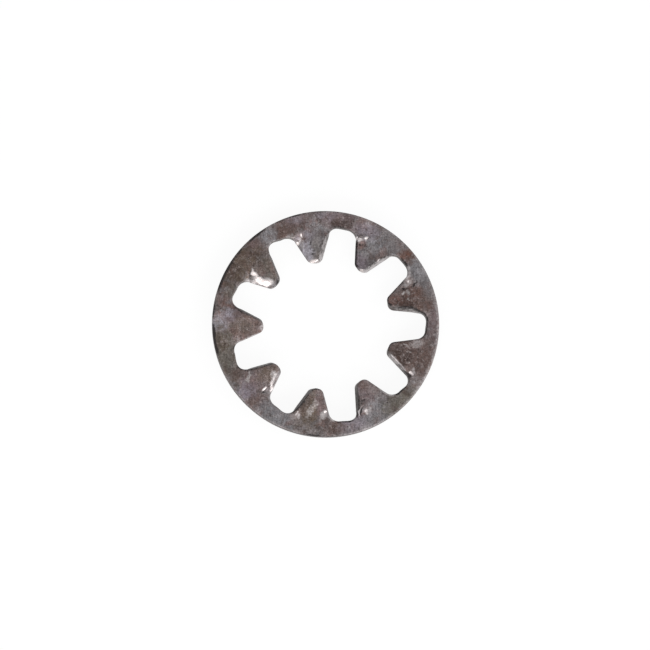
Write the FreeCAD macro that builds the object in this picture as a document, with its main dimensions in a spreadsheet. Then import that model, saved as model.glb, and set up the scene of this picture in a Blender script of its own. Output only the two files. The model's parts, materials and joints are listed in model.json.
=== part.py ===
import FreeCAD, Part

# Toothed lock washer with internal teeth. A flat ring and its teeth are stamped from spring
# steel sheet in one piece, and each tooth is then twisted about its own centre line, so that
# its two long edges stand proud of the sheet, one above and one below.
#
# Frame: millimetres, Z along the bolt, the origin on the rim's axis halfway through the sheet.
# The first tooth is drawn on the -X side, where it points along +X at the bolt.

import math
import os

import Sketcher

Vector = FreeCAD.Vector
X_AXIS, Z_AXIS = Vector(1, 0, 0), Vector(0, 0, 1)
START, END, CENTRE = 1, 2, 3
ORIGIN = (-1, START)
LEVEL = -1

# Driving dimensions, in millimetres and degrees. The slot's flare is the angle of each of its
# sides to its centre line. The punch offset is how far from the rim's axis the toothed hole
# was stamped.
SIZES = {
    "tip_circle_diameter": 10.34,
    "tooth_length": 2.62,
    "ring_width": 1.21,
    "sheet_thickness": 0.9,
    "tooth_count": 9,
    "slot_flare": 8.5,
    "tip_rounding": 0.55,
    "root_rounding": 0.66,
    "rim_rounding": 0.15,
    "twist_angle": 17.5,
    "twist_run": 0.6,
    "punch_offset_x": 0.126,
    "punch_offset_y": -0.118,
}

# Shares of the twist's run where a cross-section of the tooth's root is drawn
TWIST_STATIONS = (0.0, 1 / 3, 2 / 3, 1.0)

# Expressions for radii, and for places along a tooth's centre line as distances from the
# hole's axis. A tooth's two flanks, drawn on past its tip, meet at the apex. The twist starts
# at the root line, where the rounding between slot and flank ends, and is full in the blade.
SLOT_BOTTOM = "(Sizes.tip_circle_diameter / 2 + Sizes.tooth_length)"
RIM = f"({SLOT_BOTTOM} + Sizes.ring_width)"
HALF_PITCH = "(180 / Sizes.tooth_count)"
FLANK_ANGLE = f"({HALF_PITCH} + Sizes.slot_flare)"
TIP_CENTRE = "(Sizes.tip_circle_diameter / 2 + Sizes.tip_rounding)"
APEX = f"({TIP_CENTRE} - Sizes.tip_rounding / sin({FLANK_ANGLE}))"
ROOT_LINE = "(slot_outline.Constraints.root_line / 1 mm)"
BLADE_START = f"({ROOT_LINE} - Sizes.twist_run)"


def fill_sheet(doc):
    """Spreadsheet with one named cell for each driving dimension."""
    sheet = doc.addObject("Spreadsheet::Sheet", "Sizes")
    for row, (alias, value) in enumerate(SIZES.items(), start=1):
        sheet.set(f"A{row}", alias)
        sheet.set(f"B{row}", str(value))
        sheet.setAlias(f"B{row}", alias)
    doc.recompute()


def bind(item, bindings):
    """Tie properties of an object to expressions."""
    for path, expression in bindings.items():
        item.setExpression(path, expression)


def new_sketch(body, name, role):
    """Empty sketch on the origin plane of the body that has this role."""
    plane = next(item for item in body.Origin.OriginFeatures if item.Role == role)
    sketch = body.newObject("Sketcher::SketchObject", name)
    sketch.AttachmentSupport = (plane, [""])
    sketch.MapMode = "FlatFace"
    return sketch


def place(sketch, turn_axis, offset):
    """Shift a sketch on its plane and turn it about an axis, each by an expression."""
    sketch.AttachmentOffset = FreeCAD.Placement(Vector(), FreeCAD.Rotation(turn_axis, 1))
    bind(sketch, {f"AttachmentOffset.{path}": value for path, value in offset.items()})


def fix(sketch, kind, *arguments):
    """Add a constraint that has no size to a sketch."""
    sketch.addConstraint(Sketcher.Constraint(kind, *arguments))


def size(sketch, name, expression, kind, *arguments):
    """Add a dimension to a sketch, name it and tie it to an expression."""
    value = sketch.evalExpression(expression)
    if kind == "Angle":
        value = math.radians(value)
    index = sketch.addConstraint(Sketcher.Constraint(kind, *arguments, value))
    sketch.renameConstraint(index, name)
    sketch.setExpression(f"Constraints.{name}", expression)


def line(sketch, start, end, construction=False):
    """Add a straight line to a sketch."""
    return sketch.addGeometry(Part.LineSegment(start, end), construction)


def arc(sketch, centre, start, end):
    """Add the counter-clockwise arc about a centre from one point to another to a sketch."""
    first = math.atan2(start.y - centre.y, start.x - centre.x)
    last = math.atan2(end.y - centre.y, end.x - centre.x)
    circle = Part.Circle(centre, Z_AXIS, centre.distanceToPoint(start))
    return sketch.addGeometry(Part.ArcOfCircle(circle, first, last))


def draw_disc(body):
    """Full disc, its rim rounded on both sides by the blanking die and by tumbling."""
    sketch = new_sketch(body, "rim_outline", "XY_Plane")
    circle = sketch.addGeometry(Part.Circle(Vector(), Z_AXIS, sketch.evalExpression(RIM)))
    fix(sketch, "Coincident", circle, CENTRE, *ORIGIN)
    size(sketch, "rim", RIM, "Radius", circle)

    disc = body.newObject("PartDesign::Pad", "disc")
    disc.Profile = sketch
    disc.SideType = "Symmetric"
    bind(disc, {"Length": "Sizes.sheet_thickness"})
    body.Document.recompute()

    rims = [
        f"Edge{number}"
        for number, edge in enumerate(disc.Shape.Edges, start=1)
        if isinstance(edge.Curve, Part.Circle)
    ]
    rounding = body.newObject("PartDesign::Fillet", "rim_edges")
    rounding.Base = (disc, rims)
    bind(rounding, {"Radius": "Sizes.rim_rounding"})


def slot_side(sketch, side):
    """First guess at the points of a slot on one side, from which its sketch is solved.

    The corner's arc touches a flank, which is a straight line through the apex, and the
    circle of the slot bottoms. How far along the flank it starts follows from the right
    triangle between the hole's axis, the arc's centre and the line through that centre
    beside the flank.
    """
    slope = math.radians(sketch.evalExpression(FLANK_ANGLE))
    turn = side * math.radians(sketch.evalExpression(HALF_PITCH))
    rounding = sketch.evalExpression("Sizes.root_rounding")
    bottom = sketch.evalExpression(SLOT_BOTTOM)
    apex = sketch.evalExpression(APEX)
    sideways = apex * math.sin(slope) - rounding
    run = math.sqrt((bottom - rounding) ** 2 - sideways**2) - apex * math.cos(slope)

    outwards = Vector(math.cos(turn), math.sin(turn), 0)
    to_slot = Vector(side * math.sin(turn), -side * math.cos(turn), 0)
    off_flank = to_slot * math.cos(slope) - outwards * math.sin(slope)
    along_flank = outwards * math.cos(slope) + to_slot * math.sin(slope)
    flank_end = outwards * apex + along_flank * run
    far_end = outwards * (2 * flank_end.dot(outwards)) - flank_end
    centre = flank_end + off_flank * rounding
    bottom_end = centre * (bottom / centre.Length)
    return outwards * apex, flank_end, far_end, centre, bottom_end


def cut_slots(body):
    """Opening of the ring: slots between the teeth, straight across where a tooth starts.

    One slot is drawn about the hole's axis, with the root lines of the teeth on both sides
    of it. Its copies around the axis open the whole middle.
    """
    sketch = new_sketch(body, "slot_outline", "XY_Plane")
    place(
        sketch,
        Z_AXIS,
        {
            "Base.x": "Sizes.punch_offset_x",
            "Base.y": "Sizes.punch_offset_y",
            "Rotation.Angle": f"180 - {HALF_PITCH}",
        },
    )
    slot_bottom = arc(sketch, Vector(), slot_side(sketch, -1)[-1], slot_side(sketch, 1)[-1])
    fix(sketch, "Coincident", slot_bottom, CENTRE, *ORIGIN)
    size(sketch, "bottom", SLOT_BOTTOM, "Radius", slot_bottom)

    for side, name in ((1, "left"), (-1, "right")):
        apex, flank_end, far_end, centre, bottom_end = slot_side(sketch, side)
        middle = line(sketch, Vector(), apex, construction=True)
        flank = line(sketch, apex, flank_end, construction=True)
        root = line(sketch, flank_end, far_end)
        closing = line(sketch, far_end, Vector())

        # Arcs run counter-clockwise. On the left the corner follows on from the slot's bottom,
        # and on the right it leads up to it, so there both pairs of ends change places.
        before, after = (START, END)[::side]
        corner = arc(sketch, centre, *(bottom_end, flank_end)[::side])

        fix(sketch, "Coincident", middle, START, *ORIGIN)
        size(sketch, f"{name}_apex", APEX, "Distance", middle)
        size(sketch, f"{name}_turn", f"{side} * {HALF_PITCH}", "Angle", middle)
        fix(sketch, "Coincident", flank, START, middle, END)
        size(sketch, f"{name}_flare", f"-{side} * Sizes.slot_flare", "Angle", flank)
        fix(sketch, "Tangent", flank, END, corner, after)
        size(sketch, f"{name}_corner", "Sizes.root_rounding", "Radius", corner)
        fix(sketch, "Tangent", corner, before, slot_bottom, after)
        fix(sketch, "Coincident", root, START, flank, END)
        fix(sketch, "Symmetric", root, START, root, END, middle)
        fix(sketch, "Coincident", closing, START, root, END)
        fix(sketch, "Coincident", closing, END, *ORIGIN)

    reading = sketch.addConstraint(Sketcher.Constraint("Distance", *ORIGIN, root, apex.Length))
    sketch.setDriving(reading, False)
    sketch.renameConstraint(reading, "root_line")

    slot = body.newObject("PartDesign::Pocket", "slot")
    slot.Profile = sketch
    slot.Type = "ThroughAll"
    slot.SideType = "Symmetric"
    repeat_around(body, "slots", [slot])


def repeat_around(body, name, features):
    """Copies of some features, one for each tooth, evenly around the hole's axis."""
    pattern = body.newObject("PartDesign::PolarPattern", name)
    pattern.Originals = features
    pattern.Axis = (body.Document.getObject("slot_outline"), ["N_Axis"])
    bind(pattern, {"Occurrences": "Sizes.tooth_count"})
    body.Tip = pattern


def draw_section(sketch, width):
    """Rectangle about the sketch's middle, as high as the sheet and as wide as is said."""
    half_wide = sketch.evalExpression(width) / 2
    half_high = sketch.evalExpression("Sizes.sheet_thickness") / 2
    corners = [
        Vector(x * half_wide, y * half_high, 0)
        for x, y in ((-1, -1), (1, -1), (1, 1), (-1, 1))
    ]
    edges = [
        line(sketch, corner, following)
        for corner, following in zip(corners, corners[1:] + corners[:1])
    ]
    for edge, following in zip(edges, edges[1:] + edges[:1]):
        fix(sketch, "Coincident", edge, END, following, START)
    lower, right, upper, left = edges
    fix(sketch, "Horizontal", lower)
    fix(sketch, "Vertical", right)
    fix(sketch, "Horizontal", upper)
    fix(sketch, "Vertical", left)
    fix(sketch, "Symmetric", lower, START, upper, START, *ORIGIN)
    size(sketch, "width", width, "Distance", lower)
    size(sketch, "thickness", "Sizes.sheet_thickness", "Distance", right)


def twist_root(body):
    """Root of the first tooth, which turns from flat at the root line to the blade's twist.

    It is a loft through cross-sections of the tooth, each turned about its centre line. The
    turn eases in and out as 3 u^2 - 2 u^3, where u is the share of the twist's run.
    """
    sections = []
    for number, share in enumerate(TWIST_STATIONS):
        distance = f"({ROOT_LINE} - {share} * Sizes.twist_run)"
        sketch = new_sketch(body, f"root_section_{number}", "YZ_Plane")
        place(
            sketch,
            Z_AXIS,
            {
                "Base.x": "Sizes.punch_offset_y",
                "Base.z": f"Sizes.punch_offset_x - {distance}",
                "Rotation.Angle": f"{3 * share**2 - 2 * share**3} * Sizes.twist_angle",
            },
        )
        draw_section(sketch, f"2 * ({distance} - {APEX}) * tan({FLANK_ANGLE})")
        sections.append(sketch)

    root = body.newObject("PartDesign::AdditiveLoft", "tooth_root")
    root.Profile = sections[0]
    root.Sections = sections[1:]
    return root


def grow_blade(body):
    """Blade of the first tooth: flat, tapered, round at its tip and in the twisted plane."""
    sketch = new_sketch(body, "blade_outline", "XY_Plane")
    place(
        sketch,
        X_AXIS,
        {
            "Base.x": "Sizes.punch_offset_x",
            "Base.y": "Sizes.punch_offset_y",
            "Rotation.Angle": "Sizes.twist_angle",
        },
    )
    slope = math.radians(sketch.evalExpression(FLANK_ANGLE))
    rounding = sketch.evalExpression("Sizes.tip_rounding")
    centre = Vector(-sketch.evalExpression(TIP_CENTRE), 0, 0)
    upper_tip = centre + Vector(math.sin(slope), math.cos(slope), 0) * rounding
    upper_root = upper_tip + Vector(-math.cos(slope), math.sin(slope), 0)
    lower_tip = Vector(upper_tip.x, -upper_tip.y, 0)
    lower_root = Vector(upper_root.x, -upper_root.y, 0)

    tip = arc(sketch, centre, lower_tip, upper_tip)
    upper = line(sketch, upper_tip, upper_root)
    root = line(sketch, upper_root, lower_root)
    lower = line(sketch, lower_root, lower_tip)
    fix(sketch, "PointOnObject", tip, CENTRE, LEVEL)
    size(sketch, "tip_centre", TIP_CENTRE, "DistanceX", tip, CENTRE, *ORIGIN)
    size(sketch, "tip_rounding", "Sizes.tip_rounding", "Radius", tip)
    fix(sketch, "Tangent", tip, END, upper, START)
    size(sketch, "upper_slope", f"180 - {FLANK_ANGLE}", "Angle", upper)
    fix(sketch, "Coincident", upper, END, root, START)
    fix(sketch, "Vertical", root)
    size(sketch, "root", BLADE_START, "DistanceX", root, START, *ORIGIN)
    fix(sketch, "Coincident", root, END, lower, START)
    size(sketch, "lower_slope", FLANK_ANGLE, "Angle", lower)
    fix(sketch, "Tangent", lower, END, tip, START)

    blade = body.newObject("PartDesign::Pad", "blade")
    blade.Profile = sketch
    blade.SideType = "Symmetric"
    bind(blade, {"Length": "Sizes.sheet_thickness"})
    return blade


def stop_if_broken(doc):
    """Refuse a model with a failed object, or with a sub-part that isn't one valid solid."""
    for item in doc.Objects:
        if "Invalid" in item.State or "Error" in item.State:
            raise RuntimeError(f"{item.Name} failed: {item.State}")
    for body in doc.findObjects("PartDesign::Body"):
        shape = body.Shape
        if shape.isNull() or not shape.isValid() or len(shape.Solids) != 1:
            raise RuntimeError(f"{body.Label} is not one valid solid")


doc = FreeCAD.newDocument("toothed_lock_washer")
fill_sheet(doc)
washer = doc.addObject("PartDesign::Body", "lock_washer")
washer.Label = "lock_washer"
draw_disc(washer)
cut_slots(washer)
doc.recompute()
repeat_around(washer, "teeth", [twist_root(washer), grow_blade(washer)])
doc.recompute()
stop_if_broken(doc)

os.makedirs("parts", exist_ok=True)
washer.Shape.exportStep(f"parts/{washer.Label}.step")
print(f"{washer.Label}: {washer.Shape.Volume:.3f} cubic millimetres")
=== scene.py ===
import json
import math

import bpy
import numpy as np
from mathutils import Matrix, Vector


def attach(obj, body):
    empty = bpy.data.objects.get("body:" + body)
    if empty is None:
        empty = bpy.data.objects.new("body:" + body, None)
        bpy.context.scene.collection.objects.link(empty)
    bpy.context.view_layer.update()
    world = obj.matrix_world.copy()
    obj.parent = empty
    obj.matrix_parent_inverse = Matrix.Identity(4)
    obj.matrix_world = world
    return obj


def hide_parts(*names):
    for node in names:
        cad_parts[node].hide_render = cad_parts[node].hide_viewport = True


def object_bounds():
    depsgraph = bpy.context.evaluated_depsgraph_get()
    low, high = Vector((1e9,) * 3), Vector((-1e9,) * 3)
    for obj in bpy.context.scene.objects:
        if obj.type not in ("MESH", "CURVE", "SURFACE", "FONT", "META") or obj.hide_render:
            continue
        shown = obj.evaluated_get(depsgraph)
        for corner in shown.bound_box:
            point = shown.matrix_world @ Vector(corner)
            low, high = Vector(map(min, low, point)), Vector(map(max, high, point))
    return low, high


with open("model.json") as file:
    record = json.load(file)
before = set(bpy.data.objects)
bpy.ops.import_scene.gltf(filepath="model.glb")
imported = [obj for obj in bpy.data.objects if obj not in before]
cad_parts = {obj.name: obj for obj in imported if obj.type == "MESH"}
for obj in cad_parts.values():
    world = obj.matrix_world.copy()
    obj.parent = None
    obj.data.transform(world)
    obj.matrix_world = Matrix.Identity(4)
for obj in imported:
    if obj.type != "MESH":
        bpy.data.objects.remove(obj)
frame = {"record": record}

MM = 0.001
cad_low, cad_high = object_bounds()

# Sizes that the frame gives, in millimetres
MOUNTS = {mount["name"]: mount for mount in frame["record"]["mounts"]}
RIM_RADIUS = cad_high.x / MM
HALF_SHEET = MOUNTS["upper_face"]["pos_m"][2] / MM
HOLE_CENTRE = np.array(MOUNTS["bolt_hole"]["pos_m"][:2]) / MM

# How the washer was stamped, in millimetres and degrees
TOOTH_PITCH = 40.0
FIRST_TOOTH = 20.0
ROOT_AT = 7.14
TIP_AT = 5.556
TIP_ROUNDING = 0.54
ROOT_ROUNDING_CW = 0.66
ROOT_ROUNDING_CCW = 0.84
EDGE_ROUNDING = 0.09
ARC_POINTS = 24
FLOOR_POINTS = 40
TWIST_START = 7.9
TWIST_FULL = 6.95
TWIST_BOW = 0.2
LEAN_START = 7.3
LEAN_RUN = 2.1

# The rim's edges: how wide and how deep the upper one is rolled over, how much that width swings
# round the washer and at which azimuth it is widest, and the rounding of the burr below
ROLL_WIDTH = 0.12
ROLL_SWING = 0.05
ROLL_WIDEST_AT = -10.0
ROLL_DEPTH = 0.10
BURR = 0.07

# Each tooth in turn, counter-clockwise from the first: how far its tip is from the hole's axis, its
# half width near the root and near the tip, how far the tip leans sideways, its twist, and the
# radius of the slot's floor on its clockwise and on its counter-clockwise side
TEETH = np.array([
    (5.11, 1.44, 0.58, -0.03, 20.0, 7.89, 7.88),
    (5.12, 1.45, 0.62, -0.02, 18.0, 7.88, 7.82),
    (5.08, 1.39, 0.62, 0.05, 24.0, 7.84, 7.73),
    (5.12, 1.41, 0.65, 0.11, 15.0, 7.90, 7.71),
    (5.08, 1.39, 0.61, 0.06, 17.0, 7.82, 7.69),
    (5.11, 1.36, 0.64, -0.02, 15.0, 7.81, 7.65),
    (5.11, 1.42, 0.62, 0.02, 17.0, 7.77, 7.71),
    (5.13, 1.43, 0.59, 0.01, 15.0, 7.79, 7.75),
    (5.14, 1.47, 0.62, -0.02, 12.0, 7.86, 7.81),
])
LEAN, TWIST = TEETH.T[3:5]

# What the press and use left on the upper side, with painted light and shade: azimuth, distance
# from the rim's axis, length, width, turn of the length from the radius, lift of the surface, its
# slope across, and its tone, from -1 for grime and painted shade in folds and creases to 1 for
# bare steel and painted highlights. Millimetres and degrees.
MARKS = np.array([
    # Tooth at 20 degrees: a bare root with a painted highlight beside two cracks in the scale, and
    # small pimples painted light
    (28.1, 7.42, 0.15, 0.13, 0, 0, 0.2, 0.8), (26.8, 7.25, 0.9, 0.44, 15, 0, 0, 0.3),
    (24, 6.9, 0.8, 0.13, -15, -0.04, 0, -0.9), (24.4, 7.69, 0.6, 0.12, 33, -0.03, 0, -0.8),
    (16.5, 6.82, 0.26, 0.26, 0, 0.03, 0, 0.42), (21.8, 6.58, 0.28, 0.28, 0, 0.04, 0, 0.6),
    (21.3, 7.01, 0.4, 0.34, 0, 0.03, 0, 0.4),
    # Tooth at 60 degrees: a painted highlight on the step at the root, dark hollows behind it, and a
    # painted highlight on the tip
    (65, 7.53, 0.22, 0.18, -53, 0, 0.5, 0.9), (67.8, 7.3, 0.46, 0.26, -53, 0, 0.4, 0.5),
    (69.2, 7.24, 0.24, 0.22, 0, 0, 0.3, 0.65), (68.9, 7.66, 0.16, 0.3, 0, -0.01, 0, -0.5),
    (66.4, 6.94, 0.34, 0.24, 0, -0.04, 0, -0.6), (64.1, 7.08, 0.2, 0.2, 0, -0.03, 0, -0.5),
    (56, 5.04, 0.46, 0.36, 90, 0, 0, 1), (50.2, 6.5, 0.34, 0.16, 0, 0, 0, 0.6),
    # Tooth at 100 degrees: dents on the root and the tip, painted bright as highlights
    (104.8, 7.3, 0.2, 0.16, 0, -0.03, 0.3, 0.9), (109.2, 6.8, 0.26, 0.26, 0, 0, 0.1, 1),
    (107.4, 7, 0.6, 0.2, -35, 0, 0.1, 0.48), (106, 6.68, 0.7, 0.34, -10, 0, 0, 0.32),
    (100.6, 4.99, 0.78, 0.36, 90, 0, 0, 1), (100.6, 5.67, 0.5, 0.28, 0, -0.02, 0, -0.45),
    (101.3, 6.44, 0.26, 0.24, 0, -0.02, 0, -0.45), (93.6, 6.3, 0.62, 0.28, 0, -0.01, 0, -0.3),
    (96.4, 5.2, 0.42, 0.14, -10, 0, 0, -0.85), (111.8, 7.44, 0.5, 0.44, 0, 0, 0, 0.25),
    # Tooth at 140 degrees: a crushed counter-clockwise flank, bare steel with a painted highlight,
    # below a fold painted dark as shade
    (146.8, 6.02, 1.65, 0.66, 20, 0, -0.28, 1), (149.4, 6.45, 0.9, 0.34, 24, 0, 0, 0.75),
    (148, 6.1, 1.75, 0.86, 20, 0, 0, 0.4), (145.8, 6.8, 0.8, 0.42, -8, 0, -0.28, 1),
    (144.9, 7.14, 0.4, 0.22, -15, 0, -0.15, 0.9), (147.2, 7.2, 0.7, 0.1, -60, -0.02, 0, -0.7),
    (143.5, 7.15, 0.5, 0.09, -20, -0.02, 0, -0.7), (149.2, 6.98, 0.36, 0.09, 50, -0.01, 0, -0.7),
    (151, 7.1, 0.42, 0.2, 75, 0, -0.1, 0.5), (151.4, 6, 1.4, 0.16, 20, 0, 0, 0.35),
    # Tooth at 180 degrees: a soft painted highlight on the tip
    (174.6, 5.58, 0.2, 0.18, 0, 0.02, 0, 0.25), (182.5, 5.02, 0.7, 0.22, 90, 0, 0, 0.35),
    (181.5, 5.62, 0.95, 0.11, 90, -0.01, 0, -0.35), (182, 5.86, 1.1, 0.09, 90, -0.01, 0, -0.3),
    (182.4, 6.14, 1.2, 0.1, 90, -0.01, 0, -0.3),
    # Tooth at 220 degrees: a painted highlight streak and a rubbed counter-clockwise flank with painted
    # highlights
    (214.4, 7.5, 0.7, 0.4, 32, 0.02, 0, 0.3), (213.9, 7.36, 0.5, 0.09, 35, 0.01, 0, 0.5),
    (215.4, 7.6, 0.46, 0.09, 30, 0.01, 0, 0.5), (216.8, 7.7, 0.25, 0.16, 30, 0.02, 0, 0.3),
    (226.5, 7.12, 0.54, 0.19, 20, -0.02, -0.3, 0.95), (229.7, 6.66, 0.95, 0.26, 16, -0.01, -0.15, 0.78),
    (228.2, 6.28, 0.9, 0.46, 20, -0.01, 0, 0.5), (225.8, 5.8, 0.95, 0.56, 14, 0, 0, 0.3),
    (225.8, 5.7, 0.4, 0.28, 12, 0, -0.1, 0.6), (227, 6.02, 0.32, 0.2, 12, 0, -0.1, 0.65),
    (228.6, 7.36, 0.26, 0.22, 0, -0.02, 0, -0.7),
    # Tooth at 260 degrees: a soft ridge down its middle, painted light, and roots with painted
    # highlights
    (252, 7.58, 0.46, 0.15, -10, 0.01, -0.1, 0.55), (253.4, 7.76, 0.4, 0.26, 40, 0, 0, 0.38),
    (259.6, 7.1, 0.95, 0.5, -8, 0.03, 0, 0.26), (262.2, 6.45, 0.95, 0.56, -12, 0.02, 0, 0.22),
    (270, 6.97, 0.18, 0.22, 0, 0.03, -0.2, 0.95), (268.8, 7.24, 0.62, 0.62, 0, 0.01, 0, 0.54),
    (267.2, 7.5, 0.6, 0.26, 0, 0.02, 0, 0.2), (272.3, 7.36, 0.56, 0.34, 0, 0, 0, 0.5),
    # Tooth at 300 degrees: a crease across the root, painted dark as shade on one side, with painted
    # highlights beside it
    (290.6, 7.62, 0.4, 0.13, -15, 0.02, -0.2, 0.5), (292, 7.54, 0.66, 0.13, -18, -0.04, 0, -1),
    (294.4, 7.68, 0.36, 0.26, -20, 0, 0, 0.62), (296.6, 7.6, 0.5, 0.4, -20, 0, 0, 0.25),
    (294.2, 6.88, 1.2, 0.12, -60, -0.02, 0, -0.6),
    # Tooth at 340 degrees: painted highlights on the clockwise root and flank, and a bare patch on the
    # other root
    (329.6, 7.84, 0.46, 0.24, -20, 0, 0.2, 1), (331.8, 7.92, 0.5, 0.3, -60, 0, 0.1, 0.4),
    (332.6, 6.3, 0.75, 0.14, -22, 0, 0.1, 0.35), (347.8, 7.42, 0.95, 0.6, 18, 0, 0, 0.28),
    (345.2, 6.5, 0.5, 0.16, 0, 0.01, 0, 0.34), (344.2, 6.71, 0.36, 0.14, 60, 0.01, 0, 0.34),
    (341.6, 7.12, 0.18, 0.18, 0, 0.02, 0, 0.3), (337.4, 6.66, 0.16, 0.16, 0, 0.02, 0, 0.26),
    (334.6, 7.3, 0.2, 0.16, 0, 0.02, 0, 0.28), (339.6, 6.9, 0.3, 0.14, 40, -0.02, 0, -0.5),
    (343, 6.8, 0.36, 0.12, -20, -0.02, 0, -0.5), (336, 7.02, 0.24, 0.14, 70, -0.02, 0, -0.45),
    # Ring: small rubbed spots
    (163.2, 8.18, 0.2, 0.2, 0, 0.02, 0, 0.3), (282.4, 8.5, 0.18, 0.22, 0, 0.02, 0, 0.3),
    (326.4, 8.45, 0.26, 0.18, 0, 0.02, 0, 0.3), (354.2, 8.5, 0.18, 0.16, 0, 0.02, 0, 0.3),
])

# Tones along the rim, partly painted light and shade, lighter towards the lamps and darker mostly
# on the far side: middle azimuth, half span, how wide a band it is, and its tone, from -1 for grime
# and painted shade to 1 for bare steel and painted light
RIM_TONES = [
    (102, 24, 0.14, -0.7), (128, 9, 0.2, -1.3), (150, 18, 0.22, -1.3), (174, 7, 0.16, -1),
    (190, 13, 0.22, -1.2), (268, 14, 0.13, -0.8), (350, 80, 0.28, 0.15),
]

# Tones along the slots' edges and the walls under them, partly painted light and shade: middle
# azimuth, half span, how wide the band on the edge is, its tone, and the tone of the wall, both from -1
# for grime and scale with painted shade to 1 for bare steel and burnish with painted light
SLOT_TONES = [
    (0, 5.5, 0.12, -0.8, -0.5), (9.5, 4.5, 0.12, -1.1, 0.4), (20, 5, 0.12, -1.2, -0.6),
    (27, 3, 0.12, -0.6, -0.6), (32, 4, 0.2, 0.34, 0), (38.5, 3.5, 0.14, -1, -0.6),
    (50.5, 5.5, 0.12, -0.6, 0.85), (65.8, 5.2, 0.18, -1.6, -1), (82, 5, 0.14, -0.5, 0),
    (92.5, 5, 0.12, -0.4, 0.6), (96.5, 2.2, 0.1, 0, 0.5), (112.5, 3, 0.12, 0.2, 0),
    (142, 5, 0.15, -0.8, -0.3), (172.5, 5, 0.16, -0.7, -0.5), (190.5, 2.6, 0.1, 0.3, 0),
    (197, 4, 0.12, -0.6, -0.4), (208.5, 3, 0.13, -0.5, -0.3), (213.5, 4.5, 0.11, -0.6, 0.45),
    (230.5, 3.6, 0.1, 0.3, 0.6), (252.5, 4, 0.14, -0.9, -0.2), (260, 5.5, 0.11, -0.6, 0.35),
    (273.4, 1.8, 0.14, 0.45, 0.2), (281, 6, 0.13, -0.8, -0.6), (291.5, 4, 0.14, -0.8, -0.7),
    (300, 4, 0.12, -0.4, -0.2), (311.5, 2.6, 0.13, 0.4, 0), (318, 5.5, 0.14, -0.9, -0.6),
    (327.8, 1.6, 0.22, -1.1, -0.5), (333, 2.3, 0.09, 0.7, 0.6), (329.6, 2.4, 0.07, 0.35, 0.5),
    (339, 5.5, 0.11, -0.7, -0.2), (346.5, 4, 0.14, -0.8, -0.6), (354, 4, 0.12, -0.9, -0.6),
]

# The grid over the washer's skin. The rows on top crowd towards the slots by a power.
COLUMNS = 9 * 96
TOP_ROWS = 48
TOP_CROWDING = 1.25
RIM_ROWS = 7
WALL_ROWS = 3
BOTTOM_ROWS = 22
EDGE_ROWS = 4

# How far marks waver in plan, the power that rounds their boxes, and how wide edges are rubbed
WOBBLE = 0.28
BOX_POWER = 2.6
EDGE_FADE = 0.10


def smooth_step(value, start, end):
    """0 before start, 1 after end, and 3s² - 2s³ between them."""
    share = np.clip((value - start) / (end - start), 0.0, 1.0)
    return share * share * (3.0 - 2.0 * share)


def arc(centre, radius, start, end, count):
    """Points at even angles on a circle: centre + radius (cos a, sin a)."""
    angle = np.linspace(start, end, count)
    return np.array(centre) + radius * np.column_stack((np.cos(angle), np.sin(angle)))


def half_tooth(reach, root_half, tip_half, slot_floor, root_rounding):
    """One side of a tooth that points at the hole, in its own frame with x away from the hole.

    The flank is the line y = tip_half + (x - TIP_AT) tan(flare). A circle of the tip rounding is
    tangent to it and to x = reach, and a circle of the root rounding is tangent to it and to the
    slot's floor."""
    flare = math.atan2(root_half - tip_half, ROOT_AT - TIP_AT)
    slope = math.tan(flare)
    tip_x = reach + TIP_ROUNDING
    tip_y = tip_half + (tip_x - TIP_AT) * slope - TIP_ROUNDING / math.cos(flare)
    tip = arc((tip_x, tip_y), TIP_ROUNDING, math.pi, math.pi / 2 + flare, ARC_POINTS)
    offset = tip_half - TIP_AT * slope + root_rounding / math.cos(flare)
    a = 1.0 + slope * slope
    b = 2.0 * offset * slope
    c = offset * offset - (slot_floor - root_rounding) ** 2
    root_x = (math.sqrt(b * b - 4.0 * a * c) - b) / (2.0 * a)
    root_y = offset + root_x * slope
    start, end = flare - math.pi / 2, math.atan2(root_y, root_x)
    root = arc((root_x, root_y), root_rounding, start, end, ARC_POINTS)
    return np.vstack((tip, root))


def turned(points, degrees):
    """Points in a tooth's own frame, turned to where that tooth is."""
    angle = math.radians(degrees)
    cosine, sine = math.cos(angle), math.sin(angle)
    return points @ np.array([[cosine, sine], [-sine, cosine]])


def hole_outline():
    """The toothed hole, counter-clockwise about its own centre, as evenly spaced points.

    Each tooth is its clockwise half mirrored, then its counter-clockwise half, then the slot's floor
    on to the next tooth: an arc whose radius runs smoothly from one floor radius to the next."""
    halves = []
    for reach, root_half, tip_half, _, _, floor_cw, floor_ccw in TEETH:
        before = half_tooth(reach, root_half, tip_half, floor_cw, ROOT_ROUNDING_CW)
        after = half_tooth(reach, root_half, tip_half, floor_ccw, ROOT_ROUNDING_CCW)
        halves.append((before[::-1] * (1.0, -1.0), after))
    pieces = []
    for index, (before, after) in enumerate(halves):
        direction = FIRST_TOOTH + TOOTH_PITCH * index
        following = halves[(index + 1) % len(halves)][0]
        start = math.atan2(after[-1, 1], after[-1, 0])
        end = math.radians(TOOTH_PITCH) + math.atan2(following[0, 1], following[0, 0])
        angle = np.linspace(start, end, FLOOR_POINTS)[1:-1]
        share = smooth_step(angle, start, end)
        radius = np.hypot(*after[-1]) * (1.0 - share) + np.hypot(*following[0]) * share
        floor = np.column_stack((radius * np.cos(angle), radius * np.sin(angle)))
        pieces.append(turned(np.vstack((before, after, floor)), direction))
    loop = np.vstack(pieces)
    closed = np.vstack((loop, loop[:1]))
    run = np.concatenate(([0.0], np.cumsum(np.hypot(*np.diff(closed, axis=0).T))))
    at = np.linspace(0.0, run[-1], COLUMNS, endpoint=False)
    return np.column_stack((np.interp(at, run, closed[:, 0]), np.interp(at, run, closed[:, 1])))


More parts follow.
